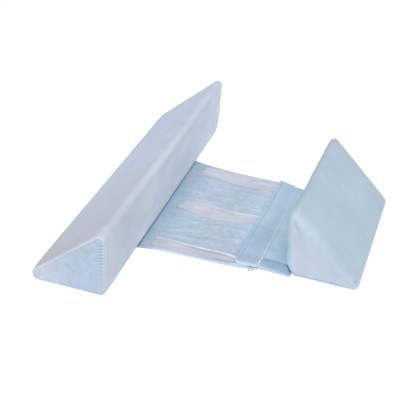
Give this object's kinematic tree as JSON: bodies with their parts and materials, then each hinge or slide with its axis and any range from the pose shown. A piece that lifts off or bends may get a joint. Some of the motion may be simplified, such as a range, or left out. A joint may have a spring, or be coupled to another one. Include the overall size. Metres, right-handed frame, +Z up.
{
  "type": "side sleep pillow",
  "caption": "Wedge-shaped filled bolsters, a long and a short, joined by a plush base panel with loop tapes and a hemmed flap that sets the space between them.",
  "frame": {"origin": "middle of the footprint, on the surface that the bolsters stand on", "axes": "+Y along the long bolster, +X from the long bolster to the short one, +Z up"},
  "size_m": [0.3825, 0.4158, 0.09],
  "materials": {
    "long_bolster_plush": "pale blue short-pile plush",
    "short_bolster_plush": "pale blue short-pile plush",
    "panel_plush": "blue short-pile plush, finely crinkled",
    "flap_plush": "blue short-pile plush with sewn hems",
    "loop_tape": "pale lavender woven loop tape"
  },
  "bodies": {
    "root": {"long_bolster": "long_bolster_plush", "short_bolster": "short_bolster_plush", "base_panel": "panel_plush", "loop_tape_near": "loop_tape", "loop_tape_middle": "loop_tape", "loop_tape_far": "loop_tape", "flap": "flap_plush"}
  },
  "joints": []
}
